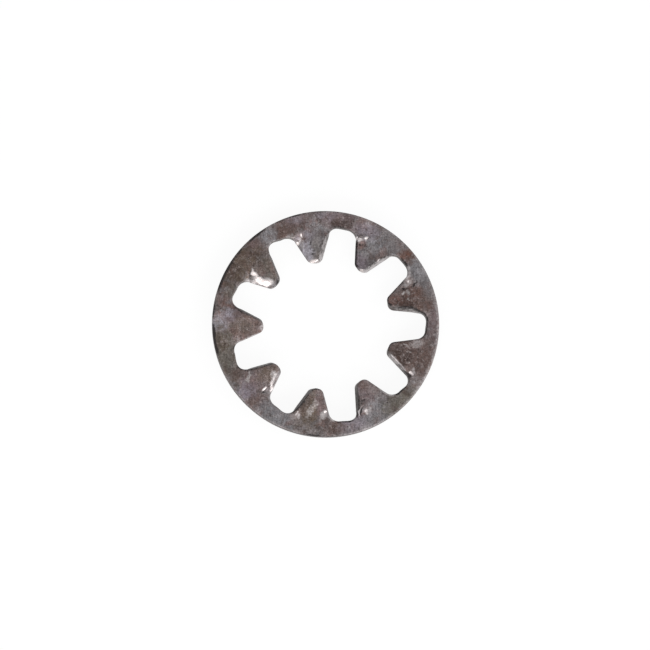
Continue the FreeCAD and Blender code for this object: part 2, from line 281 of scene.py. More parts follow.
def hole_edge():
    """The hole's outline about the rim's axis, and the direction into the steel at each point: a
    right angle from the line between the points before and after it."""
    outline = hole_outline()
    ahead = np.roll(outline, -1, axis=0) - np.roll(outline, 1, axis=0)
    ahead /= np.hypot(*ahead.T)[:, None]
    return outline + HOLE_CENTRE, np.column_stack((ahead[:, 1], -ahead[:, 0]))


def flat_blank(inner, into_steel):
    """The washer before its teeth are twisted, as a grid of points that closes on itself both ways.

    A column is one point of the hole's outline and the rim point on the same ray from the hole's
    centre. The rows go round the section: top face, rim, bottom face and the slot's wall, with
    each edge rounded as a quarter of an ellipse."""
    top_edge = inner + into_steel * EDGE_ROUNDING
    bottom_edge = inner + into_steel * BURR
    ray = top_edge - HOLE_CENTRE
    ray /= np.hypot(*ray.T)[:, None]
    along = ray @ HOLE_CENTRE
    rows = []

    def rim_point(inset):
        """Where each column's ray meets the circle that is the inset inside the rim."""
        radius = RIM_RADIUS - inset
        distance = np.sqrt(along ** 2 - HOLE_CENTRE @ HOLE_CENTRE + radius ** 2) - along
        return HOLE_CENTRE + ray * distance[:, None]

    def add_row(points, height):
        """Points in plan, all at one height."""
        rows.append(np.column_stack((points, np.full(len(points), height))))

    azimuth = np.arctan2(*rim_point(0.0).T[::-1])
    roll_width = ROLL_WIDTH + ROLL_SWING * np.cos(azimuth - math.radians(ROLL_WIDEST_AT))
    quarter = np.linspace(math.pi / 2, 0.0, RIM_ROWS)
    for share in np.linspace(0.0, 1.0, TOP_ROWS) ** TOP_CROWDING:
        add_row(top_edge * (1.0 - share) + rim_point(roll_width) * share, HALF_SHEET)
    for angle in quarter[1:]:
        inset = roll_width * (1.0 - math.cos(angle))
        add_row(rim_point(inset), HALF_SHEET - ROLL_DEPTH * (1.0 - math.sin(angle)))
    for share in np.linspace(0.0, 1.0, WALL_ROWS + 2)[1:-1]:
        height = (HALF_SHEET - ROLL_DEPTH) * (1.0 - share) - (HALF_SHEET - BURR) * share
        add_row(rim_point(0.0), height)
    for angle in quarter[::-1]:
        inset = BURR * (1.0 - math.cos(angle))
        add_row(rim_point(inset), BURR * (1.0 - math.sin(angle)) - HALF_SHEET)
    for share in np.linspace(1.0, 0.0, BOTTOM_ROWS + 1)[1:]:
        add_row(bottom_edge * (1.0 - share) + rim_point(BURR) * share, -HALF_SHEET)
    for angle in np.linspace(math.pi / 2, 0.0, EDGE_ROWS)[1:]:
        points = inner + into_steel * BURR * (1.0 - math.cos(angle))
        add_row(points, BURR * (1.0 - math.sin(angle)) - HALF_SHEET)
    for share in np.linspace(0.0, 1.0, WALL_ROWS + 4)[1:-1]:
        height = (BURR - HALF_SHEET) * (1.0 - share) + (HALF_SHEET - EDGE_ROUNDING) * share
        add_row(inner, height)
    for angle in np.linspace(0.0, math.pi / 2, EDGE_ROWS + 2)[:-1]:
        points = inner + into_steel * EDGE_ROUNDING * (1.0 - math.cos(angle))
        add_row(points, HALF_SHEET - EDGE_ROUNDING * (1.0 - math.sin(angle)))
    return np.stack(rows)


def twist_teeth(grid):
    """The teeth twisted in the press: each point turns about the centre line of the nearest tooth,
    counter-clockwise side down. The angle rises as a smooth step along x + bow y², so the crease
    bows outward."""
    plan, height = grid[..., :2] - HOLE_CENTRE, grid[..., 2]
    azimuth = np.degrees(np.arctan2(plan[..., 1], plan[..., 0]))
    index = np.round((azimuth - FIRST_TOOTH) / TOOTH_PITCH).astype(int) % len(TEETH)
    direction = np.radians(FIRST_TOOTH + TOOTH_PITCH * index)
    cosine, sine = np.cos(direction), np.sin(direction)
    along = plan[..., 0] * cosine + plan[..., 1] * sine
    across = plan[..., 1] * cosine - plan[..., 0] * sine
    share = 1.0 - smooth_step(along + TWIST_BOW * across ** 2, TWIST_FULL, TWIST_START)
    angle = np.radians(TWIST[index]) * share
    lean = LEAN[index] * np.maximum(LEAN_START - along, 0.0) / LEAN_RUN
    turned_across = across * np.cos(angle) + height * np.sin(angle) + lean
    turned_height = height * np.cos(angle) - across * np.sin(angle)
    x = HOLE_CENTRE[0] + along * cosine - turned_across * sine
    y = HOLE_CENTRE[1] + along * sine + turned_across * cosine
    return np.stack((x, y, turned_height), axis=-1)


def grid_mesh(name, grid):
    """A mesh of the grid's squares, closed both ways, faces outward."""
    rows, columns = grid.shape[:2]
    number = np.arange(rows * columns).reshape(rows, columns)
    below = np.roll(number, -1, axis=0)
    square = (number, below, np.roll(below, -1, axis=1), np.roll(number, -1, axis=1))
    corners = np.stack(square, axis=-1).reshape(-1, 4)
    mesh = bpy.data.meshes.new(name)
    mesh.vertices.add(rows * columns)
    mesh.vertices.foreach_set("co", (grid * MM).ravel())
    mesh.loops.add(corners.size)
    mesh.loops.foreach_set("vertex_index", corners.ravel())
    mesh.polygons.add(len(corners))
    mesh.polygons.foreach_set("loop_start", np.arange(0, corners.size, 4))
    mesh.polygons.foreach_set("use_smooth", np.ones(len(corners), bool))
    mesh.update(calc_edges=True)
    return mesh


def wobble(x, y):
    """A wavering shift of the plan, in millimetres: sums of sin(w s + p) / w and of
    cos(1.13 w s + p) / w over five directions s, so that no mark has an even outline."""
    shift_x = np.zeros(x.shape)
    shift_y = np.zeros(x.shape)
    waves = ((0.3, 4.6, 0.0), (1.5, 7.3, 1.1), (2.5, 10.7, 2.3), (0.9, 15.1, 3.9), (2.1, 21.9, 5.2))
    for turn, wave, phase in waves:
        along = x * math.cos(turn) + y * math.sin(turn)
        shift_x += np.sin(wave * along + phase) / wave
        shift_y += np.cos(1.13 * wave * along + phase) / wave
    return WOBBLE * shift_x, WOBBLE * shift_y


def from_middle(grid, azimuth, radius, turn=0.0, shift=(0.0, 0.0)):
    """How far each shifted point is along and across a mark, from the middle of the mark."""
    towards, direction = math.radians(azimuth), math.radians(azimuth + turn)
    x = grid[..., 0] + shift[0] - radius * math.cos(towards)
    y = grid[..., 1] + shift[1] - radius * math.sin(towards)
    cosine, sine = math.cos(direction), math.sin(direction)
    return x * cosine + y * sine, y * cosine - x * sine


def press_marks(grid, blank):
    """The marks on the upper side: each is a rounded box whose edge fades as a smooth step. Inside
    it the surface moves by lift + slope * distance across. Returns the grid, the bright share (bare
    steel and painted highlights) and the dark share (grime and painted shade)."""
    upper = np.clip((blank[..., 2] / HALF_SHEET + 1.0) / 2.0, 0.0, 1.0)
    above_bottom = smooth_step(blank[..., 2] / HALF_SHEET, -1.0, -0.5)
    wear_and_highlight = np.zeros(upper.shape)
    grime_and_shade = np.zeros(upper.shape)
    marked = grid.copy()
    shift = wobble(grid[..., 0], grid[..., 1])
    for azimuth, radius, length, width, turn, lift, slope, tone in MARKS:
        along, across = from_middle(grid, azimuth, radius, turn, shift)
        box = np.abs(2.0 * along / length) ** BOX_POWER + np.abs(2.0 * across / width) ** BOX_POWER
        mask = 1.0 - smooth_step(box ** (1.0 / BOX_POWER), 0.5, 1.35)
        marked[..., 2] += upper * mask * (lift + slope * across)
        # Positive tones paint bare steel and highlights, negative tones paint grime and the shade of
        # folds and creases
        wear_and_highlight = np.maximum(wear_and_highlight, above_bottom * mask * max(tone, 0.0))
        grime_and_shade = np.maximum(grime_and_shade, above_bottom * mask * max(-tone, 0.0))
    return marked, wear_and_highlight, grime_and_shade


def around(azimuth, middle, half_span, full=0.6):
    """1 up to the full share of half a span either way, then fading as a smooth step to 0."""
    away = np.abs((azimuth - middle + 180.0) % 360.0 - 180.0)
    return 1.0 - smooth_step(away, full * half_span, 1.1 * half_span)


def edge_tones(grid, blank, from_slot):
    """Tones that follow the edges, partly painted light and shade. The dark share is patchy: 0.8 +
    0.35 sin 23a sin(9a + 1) of its tone, at azimuth a. Returns the bright share (wear and painted
    highlights), the dark share (grime and painted shade), and the tone of the slots' walls (burnish
    and painted light, scale and painted shade)."""
    angle = np.arctan2(grid[..., 1], grid[..., 0])
    azimuth = np.degrees(angle)
    patchy = 0.8 + 0.35 * np.sin(23.0 * angle) * np.sin(9.0 * angle + 1.0)
    near_top = smooth_step(blank[..., 2] / HALF_SHEET, -0.2, 0.7)
    on_lip = smooth_step(blank[..., 2] / HALF_SHEET, 0.75, 0.95)
    wear_and_highlight = np.zeros(azimuth.shape)
    grime_and_shade = np.zeros(azimuth.shape)
    from_rim = np.maximum(RIM_RADIUS - np.hypot(blank[..., 0], blank[..., 1]), 0.0)
    # The rim's bands: bright tones paint light and dark tones paint shade, along with wear and grime
    for middle, half_span, band, tone in RIM_TONES:
        near = near_top * around(azimuth, middle, half_span, 0.2)
        near = near * (1.0 - smooth_step(from_rim, 0.6 * band, 1.3 * band))
        wear_and_highlight = np.maximum(wear_and_highlight, near * max(tone, 0.0))
        grime_and_shade = np.maximum(grime_and_shade, near * patchy * max(-tone, 0.0))
    wall_burnish_and_shading = np.zeros(azimuth.shape)
    # The slots' edges and walls: bright tones paint light and dark tones paint shade, along with
    # burnish, wear, scale and grime
    for middle, half_span, band, tone, wall_burnish_and_shade in SLOT_TONES:
        near = around(azimuth, middle, half_span)
        on_edge = near * (1.0 - smooth_step(from_slot, 0.7 * band, 1.5 * band))
        wear_and_highlight = np.maximum(wear_and_highlight, on_edge * on_lip * max(tone, 0.0))
        grime_and_shade = np.maximum(grime_and_shade, on_edge * near_top * patchy * max(-tone, 0.0))
        wall_burnish_and_shading += near * wall_burnish_and_shade
    on_slot = 1.0 - smooth_step(from_slot, 0.3, 0.6)
    return wear_and_highlight, np.minimum(grime_and_shade, 1.0), on_slot * np.clip(wall_burnish_and_shading, -1.0, 1.0)


def scaliness(grid, blank):
    """Where the scale is flaking: the highest of soft ovals, each 1 - a smooth step of the distance
    from its middle over its half size. Only on the upper side."""
    upper = smooth_step(blank[..., 2] / HALF_SHEET, 0.2, 1.0)
    scaly = np.zeros(upper.shape)
    for azimuth, radius, length, width, depth in SCALY:
        along, across = from_middle(grid, azimuth, radius)
        away = 2.0 * np.hypot(along / length, across / width)
        scaly = np.maximum(scaly, depth * upper * (1.0 - smooth_step(away, 0.4, 1.1)))
    return scaly


def edge_nearness(blank, from_slot):
    """1 on the washer's edges, fading as exp(-distance / fade) over the flat faces."""
    past_slot = np.maximum(from_slot - EDGE_ROUNDING / 2, 0.0)
    past_rim = np.maximum(RIM_RADIUS - ROLL_WIDTH - np.hypot(blank[..., 0], blank[..., 1]), 0.0)
    return np.maximum(np.exp(-past_slot / EDGE_FADE), np.exp(-past_rim / EDGE_FADE))


def store(mesh, name, values):
    """A named value at each point of the mesh, for its materials to read."""
    layer = mesh.attributes.new(name, "FLOAT", "POINT")
    layer.data.foreach_set("value", values.astype(np.float32).ravel())


def shown(red, green, blue):
    """A colour given as it shows on a screen, 0 to 255, turned into the light that it stands for."""
    share = np.array((red, green, blue)) / 255.0
    light = np.where(share <= 0.04045, share / 12.92, ((share + 0.055) / 1.055) ** 2.4)
    return (*light.tolist(), 1.0)


# The colours of the steel and its stains, and of its painted highlights and painted shade
STEEL_DARK = shown(76, 67, 65)
STEEL_LIGHT = shown(130, 124, 125)
# Bare steel, also the colour of the painted highlights
BARE_STEEL_AND_HIGHLIGHT = shown(216, 206, 204)
# Rubbed steel, also the colour of painted sheen on lit edges, walls and marks
RUBBED_STEEL_AND_SHEEN = shown(176, 171, 171)
GRAZING_STEEL = (0.62, 0.60, 0.59, 1.0)
WALL_DARK = shown(66, 58, 56)
WALL_LIGHT = shown(100, 93, 92)
# Grime, also the colour of painted shade in folds, creases and along the shaded rim, slot edges and
# walls
GRIME_AND_SHADE = shown(30, 25, 25)
BROWN = shown(85, 69, 64)
DEEP_BROWN = shown(62, 50, 46)
RED_BROWN = shown(107, 80, 74)
RUST = shown(104, 71, 59)
UMBER = shown(84, 73, 63)
OLIVE = shown(91, 86, 79)
GREY = shown(107, 103, 104)
COOL_GREY = shown(116, 115, 118)
LILAC = shown(127, 119, 127)
PURPLE_BROWN = shown(102, 87, 88)
PALE = shown(148, 138, 137)
PALE_LILAC = shown(169, 165, 174)
PURPLE_GREY = shown(112, 101, 110)

# Stains on the upper side: azimuth, distance from the rim's axis, length along the radius, width,
# turn from the radius, colour and depth of colour. Millimetres and degrees.
STAINS = [
    (4, 8.5, 1.4, 2, 0, PURPLE_BROWN, 0.8), (5.5, 7.9, 0.9, 1.2, 0, PALE, 0.8),
    (12, 8.1, 1.8, 1.8, 0, BROWN, 0.55), (18, 6.7, 3.8, 3.2, 0, BROWN, 1),
    (12.5, 6.8, 2.6, 0.9, -18, DEEP_BROWN, 1), (20, 5.8, 1.3, 1.2, 0, RED_BROWN, 0.7),
    (16, 7.2, 2.6, 2.6, 0, RUST, 0.18), (24, 6.4, 1, 0.9, 0, PALE, 0.3),
    (18, 8.55, 1, 1.6, 0, GREY, 0.6), (27, 7.3, 1.1, 0.7, 15, PALE, 0.5),
    (30, 8.4, 1.8, 2.6, 0, COOL_GREY, 0.8), (40.6, 8.5, 1.6, 1, -28, RUST, 0.85),
    (38.2, 8.7, 0.9, 0.5, -10, DEEP_BROWN, 0.7), (53, 8.4, 1.6, 3.2, 0, GREY, 0.8),
    (59, 6.5, 3.2, 2.8, 0, COOL_GREY, 1), (62, 5.6, 1.4, 1.6, 0, PURPLE_GREY, 0.85),
    (59.5, 6.5, 1.5, 1.3, 0, PALE, 0.3), (66, 6.9, 0.9, 0.9, 0, RED_BROWN, 0.8),
    (52.8, 6.5, 2.6, 0.8, -20, DEEP_BROWN, 0.55), (67, 8.1, 1.4, 2.2, 0, LILAC, 0.8),
    (82, 8.3, 1.6, 3, 0, PURPLE_BROWN, 0.9), (90, 8.6, 1, 1.6, 0, LILAC, 0.6),
    (79, 8.1, 0.7, 1.2, 0, DEEP_BROWN, 0.8), (85, 8.05, 0.7, 0.7, 0, DEEP_BROWN, 0.9),
    (101, 8.5, 1, 1.8, 0, PURPLE_BROWN, 0.4), (97, 6.9, 2.8, 1.7, 0, COOL_GREY, 0.9),
    (97.5, 6.1, 2.2, 1, 0, OLIVE, 0.5), (106.4, 6.2, 2.2, 1.3, 10, PALE_LILAC, 0.9),
    (96.5, 6.7, 1.6, 1, 0, PALE, 0.35), (101, 7.2, 1.2, 1, 0, LILAC, 0.5),
    (108, 8.6, 1.1, 1.4, 0, LILAC, 0.75), (114, 8.05, 1.8, 2.6, 0, BROWN, 0.9),
    (124, 8.3, 1.6, 1.5, 0, COOL_GREY, 0.9), (136, 8.3, 1.8, 2.6, 0, BROWN, 0.85),
    (132, 8.5, 0.7, 1, 0, PURPLE_BROWN, 0.8), (138, 7.2, 2.8, 2.8, 0, UMBER, 0.6),
    (135, 6.6, 1.6, 0.8, -30, OLIVE, 0.6), (138, 5.7, 1.2, 1, 0, OLIVE, 0.7),
    (148, 8.3, 2.2, 3.6, 0, UMBER, 1), (151, 8.5, 1.4, 2.2, 0, DEEP_BROWN, 0.6),
    (162, 7.95, 0.9, 1.4, 0, OLIVE, 0.7), (143, 5.5, 0.7, 0.8, 60, DEEP_BROWN, 0.6),
    (166, 8.1, 0.8, 1, 0, BROWN, 0.4), (181, 8.4, 1.9, 1.5, 0, PALE_LILAC, 0.65),
    (176, 7.35, 1.6, 1.3, 0, LILAC, 1), (174.5, 7.8, 1, 0.9, 0, PALE_LILAC, 0.45),
    (183, 6.5, 3.2, 2.8, 0, RED_BROWN, 0.5), (183, 6.3, 3, 2.6, 0, BROWN, 0.8),
    (182, 6.7, 2, 1.6, 0, OLIVE, 0.5), (186, 7.2, 1, 1, 0, BROWN, 0.7),
    (173, 6.6, 1.6, 0.7, -15, BROWN, 0.4), (196, 8.3, 2.2, 4.6, 0, OLIVE, 1),
    (192, 7.3, 0.9, 0.8, 0, PALE, 0.4), (190, 8.4, 1.2, 1.6, 0, UMBER, 0.8),
    (210, 8.1, 1.6, 1.2, 0, BROWN, 0.6), (222, 8.2, 1.6, 1.7, 0, LILAC, 1),
    (229, 8.4, 1.6, 1.4, 0, PURPLE_BROWN, 1), (228, 8.5, 1.1, 1.2, 0, BROWN, 1),
    (219, 6.6, 2.8, 2.2, 0, PURPLE_BROWN, 0.9), (214, 6.4, 2.4, 0.9, -20, DEEP_BROWN, 0.8),
    (221, 6.2, 1.9, 1.5, 0, UMBER, 0.8), (241, 8.4, 1.8, 3.2, 0, COOL_GREY, 0.9),
    (258, 6.9, 3.2, 2.4, 0, UMBER, 1), (255, 6.8, 2.4, 0.7, -18, DEEP_BROWN, 0.7),
    (267, 6.4, 2, 1.1, 10, PURPLE_BROWN, 0.9), (269.5, 6.3, 1.2, 0.7, 12, BROWN, 0.6),
    (252.5, 7.85, 1, 0.8, 0, PALE, 0.6), (276, 8.2, 1.5, 2.2, 0, BROWN, 0.85),
    (277, 8.1, 0.7, 1.2, 0, DEEP_BROWN, 0.6), (286, 8.2, 1.6, 2.4, 0, LILAC, 0.7),
    (300, 7.9, 2.4, 2.4, 0, COOL_GREY, 0.8), (300, 6.1, 2.4, 2, 0, PURPLE_BROWN, 0.8),
    (306.5, 6.5, 2, 0.9, 15, PALE, 0.4), (299, 5.7, 1, 1.3, 0, BROWN, 0.8),
    (293.5, 5.7, 0.9, 0.8, 0, PURPLE_GREY, 0.8), (312, 7.3, 0.8, 0.9, 0, PALE, 0.5),
    (330.5, 7.2, 0.9, 0.9, 0, PALE, 0.5), (314, 8.4, 1.9, 3.2, 0, OLIVE, 1),
    (309, 8.7, 0.8, 0.4, 10, DEEP_BROWN, 0.5), (319.5, 8.5, 0.8, 0.4, 14, DEEP_BROWN, 0.6),
    (329.5, 8.1, 2.2, 1.6, 0, PALE, 0.4), (339, 6.8, 4, 3.2, 0, BROWN, 1),
    (336, 6.5, 2.6, 1.2, -15, DEEP_BROWN, 0.7), (349, 7.9, 1.1, 1.1, 0, BROWN, 1),
    (348, 7.45, 1.2, 0.8, 18, PALE, 0.9), (341, 8.5, 1.4, 3.4, 0, BROWN, 0.8),
    (356, 8.5, 1.2, 1.6, 0, PURPLE_BROWN, 0.5),
]

# Where the scale is flaking, dark and light close together: azimuth, distance from the rim's
# axis, length along the radius, width and depth
SCALY = [
    (18, 6.8, 3.4, 2.8, 1), (340, 7, 3.8, 3, 1), (138, 7.2, 2.8, 2.4, 0.6), (80, 8.2, 1.6, 2.4, 0.8),
    (190, 8.3, 1.6, 2.8, 0.7), (230, 8, 1.8, 1.6, 0.6), (66, 6.9, 1, 1, 0.8), (150, 8.3, 1.8, 3.2, 0.5),
    (276, 8.2, 1.6, 2.2, 0.6),
]


def plug(tree, socket, value):
    """Gives a socket another node's output, or a plain value."""
    if isinstance(value, bpy.types.NodeSocket):
        tree.links.new(value, socket)
    else:
        socket.default_value = value


def maths(tree, operation, first, second=0.0):
    """One sum on two numbers, such as ADD."""
    node = tree.nodes.new("ShaderNodeMath")
    node.operation = operation
    plug(tree, node.inputs[0], first)
    plug(tree, node.inputs[1], second)
    return node.outputs[0]


def vector_maths(tree, operation, first, second=(0.0, 0.0, 0.0)):
    """One sum on two vectors, each axis by itself."""
    node = tree.nodes.new("ShaderNodeVectorMath")
    node.operation = operation
    plug(tree, node.inputs[0], first)
    plug(tree, node.inputs[1], second)
    return node.outputs["Value"] if operation == "LENGTH" else node.outputs["Vector"]


def turned_vector(tree, vector, angle):
    """The vector turned about the upright axis."""
    node = tree.nodes.new("ShaderNodeVectorRotate")
    node.rotation_type = "Z_AXIS"
    plug(tree, node.inputs["Vector"], vector)
    plug(tree, node.inputs["Angle"], angle)
    return node.outputs["Vector"]


def remap(tree, value, low, high, to_low=0.0, to_high=1.0):
    """A smooth step from low to high, put between to_low and to_high."""
    node = tree.nodes.new("ShaderNodeMapRange")
    node.interpolation_type = "SMOOTHSTEP"
    plug(tree, node.inputs["Value"], value)
    plug(tree, node.inputs["From Min"], low)
    plug(tree, node.inputs["From Max"], high)
    plug(tree, node.inputs["To Min"], to_low)
    plug(tree, node.inputs["To Max"], to_high)
    return node.outputs["Result"]


def mix_colour(tree, share, first, second, blend="MIX"):
    """The first colour where the share is 0, and the second where it is 1."""
    node = tree.nodes.new("ShaderNodeMix")
    node.data_type = "RGBA"
    node.blend_type = blend
    plug(tree, node.inputs["Factor"], share)
    colours = [socket for socket in node.inputs if socket.type == "RGBA"]
    plug(tree, colours[0], first)
    plug(tree, colours[1], second)
    return [socket for socket in node.outputs if socket.type == "RGBA"][0]


def mix_value(tree, share, first, second):
    """The first number where the share is 0, and the second where it is 1."""
    node = tree.nodes.new("ShaderNodeMix")
    plug(tree, node.inputs[0], share)
    plug(tree, node.inputs[2], first)
    plug(tree, node.inputs[3], second)
    return node.outputs[0]


def noise(tree, point, scale, detail=3.0, roughness=0.55, distortion=0.0):
    """Cloudy noise, mostly between 0.25 and 0.75, with scale waves to a millimetre."""
    node = tree.nodes.new("ShaderNodeTexNoise")
    plug(tree, node.inputs["Vector"], point)
    plug(tree, node.inputs["Scale"], scale)
    plug(tree, node.inputs["Detail"], detail)
    plug(tree, node.inputs["Roughness"], roughness)
    plug(tree, node.inputs["Distortion"], distortion)
    return node.outputs["Fac"]


def attribute(tree, name):
    """What store() kept on the mesh under a name."""
    node = tree.nodes.new("ShaderNodeAttribute")
    node.attribute_name = name
    return node.outputs["Fac"]


def new_group(name, **inputs):
    """A shader node group that reads a point and other named values, vectors where they start as
    three numbers, and puts out a mask. Returns it and the outputs of its input node."""
    group = bpy.data.node_groups.new(name, "ShaderNodeTree")
    for label, value in {"Point": (0.0, 0.0, 0.0), **inputs}.items():
        kind = "NodeSocketVector" if isinstance(value, tuple) else "NodeSocketFloat"
        group.interface.new_socket(label, in_out="INPUT", socket_type=kind).default_value = value
    group.interface.new_socket("Mask", in_out="OUTPUT", socket_type="NodeSocketFloat")
    return group, group.nodes.new("NodeGroupInput").outputs


def close_group(group, mask):
    """Sends the mask out of the group."""
    group.links.new(mask, group.nodes.new("NodeGroupOutput").inputs["Mask"])
    return group


def use_group(tree, group, point, **inputs):
    """Places a group in a material with its own values and returns its mask."""
    node = tree.nodes.new("ShaderNodeGroup")
    node.node_tree = group
    tree.links.new(point, node.inputs["Point"])
    for label, value in inputs.items():
        plug(tree, node.inputs[label], value)
    return node.outputs["Mask"]


def stain_group():
    """A soft oval mask round a centre. The distance from the centre, with noise added so that the
    edge is ragged, is taken through a smooth step, and finer noise eats holes into it."""
    group, given = new_group("stain", Centre=(0.0, 0.0, 0.0), Turn=0.0, Size=(1.0, 1.0, 1.0))
    offset = vector_maths(group, "SUBTRACT", given["Point"], given["Centre"])
    along = turned_vector(group, offset, given["Turn"])
    distance = vector_maths(group, "LENGTH", vector_maths(group, "DIVIDE", along, given["Size"]))
    rough_edge = maths(group, "SUBTRACT", noise(group, given["Point"], 1.9, 6.0, 0.72), 0.5)
    rough_edge = maths(group, "MULTIPLY", rough_edge, 1.25)
    oval = remap(group, maths(group, "ADD", distance, rough_edge), 0.68, 0.20)
    eaten = remap(group, noise(group, given["Point"], 5.7, 5.0, 0.7), 0.38, 0.6, 0.70, 1.0)
    return close_group(group, maths(group, "MULTIPLY", oval, eaten))


def mottling_group():
    """Cloudy steel: coarse, middle and fine noise added with falling weights."""
    group, given = new_group("mottling", Scale=1.0)
    coarse = noise(group, given["Point"], given["Scale"], 4.0, 0.6, 0.4)
    middle = noise(group, given["Point"], maths(group, "MULTIPLY", given["Scale"], 3.1), 4.0, 0.65)
    fine = noise(group, given["Point"], maths(group, "MULTIPLY", given["Scale"], 9.7), 3.0, 0.7)
    total = maths(group, "MULTIPLY", coarse, 0.40)
    total = maths(group, "ADD", total, maths(group, "MULTIPLY", middle, 0.35))
    total = maths(group, "ADD", total, maths(group, "MULTIPLY", fine, 0.25))
    return close_group(group, remap(group, total, 0.42, 0.58))


def fleck_group():
    """Scattered flecks: where noise rises over a level, with soft and ragged edges."""
    group, given = new_group("flecks", Scale=3.0, Level=0.58)
    value = noise(group, given["Point"], given["Scale"], 6.0, 0.7, 0.5)
    top = maths(group, "ADD", given["Level"], 0.14)
    return close_group(group, remap(group, value, given["Level"], top))


def scratch_group():
    """Fine scratches: noise drawn out along one direction, kept only where it crosses its middle."""
    group, given = new_group("scratches", Turn=0.0, Fineness=12.0, Amount=0.02)
    drawn = group.nodes.new("ShaderNodeCombineXYZ")
    for axis, stretch in (("X", 0.7), ("Y", given["Fineness"]), ("Z", 1.0)):
        plug(group, drawn.inputs[axis], stretch)
    along = turned_vector(group, given["Point"], given["Turn"])
    stretched = vector_maths(group, "MULTIPLY", along, drawn.outputs["Vector"])
    off_middle = maths(group, "SUBTRACT", noise(group, stretched, 1.0, 2.0, 0.5), 0.5)
    line = remap(group, maths(group, "ABSOLUTE", off_middle), given["Amount"], 0.0)
    broken = remap(group, noise(group, given["Point"], 1.7, 2.0), 0.5, 0.62)
    return close_group(group, maths(group, "MULTIPLY", line, broken))


def pit_group():
    """Small round pits: cells whose own random number is below the share get a dark centre."""
    group, given = new_group("pits", Scale=4.0, Share=0.3)
    cells = group.nodes.new("ShaderNodeTexVoronoi")
    warp = noise(group, given["Point"], 6.0, 2.0)
    plug(group, cells.inputs["Vector"], vector_maths(group, "ADD", given["Point"], warp))
    plug(group, cells.inputs["Scale"], given["Scale"])
    near = remap(group, cells.outputs["Distance"], 0.42, 0.12)
    split = group.nodes.new("ShaderNodeSeparateColor")
    plug(group, split.inputs["Color"], cells.outputs["Color"])
    chosen = maths(group, "LESS_THAN", split.outputs["Red"], given["Share"])
    return close_group(group, maths(group, "MULTIPLY", near, chosen))


def edge_group():
    """Where an edge is rubbed: the stored nearness to an edge, broken up by noise."""
    group, given = new_group("edge wear", Nearness=0.0, Amount=0.5)
    broken = remap(group, noise(group, given["Point"], 3.2, 4.0, 0.65), 0.35, 0.65, 0.45, 1.0)
    total = remap(group, maths(group, "MULTIPLY", given["Nearness"], broken), 0.35, 0.95)
    return close_group(group, maths(group, "MULTIPLY", total, given["Amount"]))


def ragged_group():
    """A stored share with noise added wherever it is more than nothing."""
    group, given = new_group("ragged", Stored=0.0, Amount=0.2)
    rough = remap(group, noise(group, given["Point"], 5.5, 5.0, 0.75), 0.3, 0.7, -1.0, 1.0)
    rough = maths(group, "MULTIPLY", rough, given["Amount"])
    present = remap(group, given["Stored"], 0.0, 0.12)
    total = maths(group, "ADD", given["Stored"], rough)
    return close_group(group, maths(group, "MULTIPLY", total, present))


STAIN = stain_group()
MOTTLING = mottling_group()
FLECKS = fleck_group()
SCRATCHES = scratch_group()
PITS = pit_group()
EDGE_WEAR = edge_group()
RAGGED = ragged_group()


def new_steel(name):
    """A steel material. Returns it, its nodes, its shader, and the place in millimetres."""
    material = bpy.data.materials.new(name)
    material.use_nodes = True
    tree = material.node_tree
    shader = tree.nodes["Principled BSDF"]
    shader.inputs["Specular Tint"].default_value = GRAZING_STEEL
    place = tree.nodes.new("ShaderNodeTexCoord")
    point = vector_maths(tree, "MULTIPLY", place.outputs["Object"], (1.0 / MM,) * 3)
    return material, tree, shader, point


def finish_steel(tree, shader, colour, metal, dull, height, depth):
    """Sends each pattern to its socket. The depth of the bumps is in millimetres."""
    bump = tree.nodes.new("ShaderNodeBump")
    bump.inputs["Distance"].default_value = depth * MM
    tree.links.new(height, bump.inputs["Height"])
    tree.links.new(colour, shader.inputs["Base Color"])
    tree.links.new(metal, shader.inputs["Metallic"])
    tree.links.new(dull, shader.inputs["Roughness"])
    tree.links.new(bump.outputs["Normal"], shader.inputs["Normal"])


def bright_and_dark_marks(tree, point):
    """How bright each place is, with bare steel and painted highlights, and how dark, with grime and
    painted shade, with ragged edges.
    """
    wear_and_highlight = use_group(tree, RAGGED, point, Stored=attribute(tree, "wear_and_highlight"), Amount=0.2)
    grime_and_shade = use_group(tree, RAGGED, point, Stored=attribute(tree, "grime_and_shade"), Amount=0.4)
    return wear_and_highlight, remap(tree, grime_and_shade, 0.15, 0.85, 0.0, 0.95)


def stained(tree, point, colour):
    """Every stain mixed over the steel, one after another. They reach only into the upper half."""
    for azimuth, radius, length, width, turn, tint, depth in STAINS:
        direction = math.radians(azimuth)
        mask = use_group(
            tree, STAIN, point, Turn=-math.radians(azimuth + turn),
            Centre=(radius * math.cos(direction), radius * math.sin(direction), HALF_SHEET),
            Size=(length, width, 2.0 * HALF_SHEET),
        )
        colour = mix_colour(tree, maths(tree, "MULTIPLY", mask, depth), colour, tint)
    return colour


def flecked(tree, point, colour, *flecks):
    """The colour with flecks over it, each given as scale, level, depth and tint."""
    for scale, level, depth, tint in flecks:
        mask = use_group(tree, FLECKS, point, Scale=scale, Level=level)
        colour = mix_colour(tree, maths(tree, "MULTIPLY", mask, depth), colour, tint)
    return colour


def shaded(tree, colour, pattern, dark, light):
    """The colour times a grey that runs from dark to light as the pattern rises."""
    grey = tree.nodes.new("ShaderNodeCombineColor")
    share = remap(tree, pattern, 0.3, 0.7, dark, light)
    for channel in ("Red", "Green", "Blue"):
        tree.links.new(share, grey.inputs[channel])
    return mix_colour(tree, 1.0, colour, grey.outputs["Color"], "MULTIPLY")


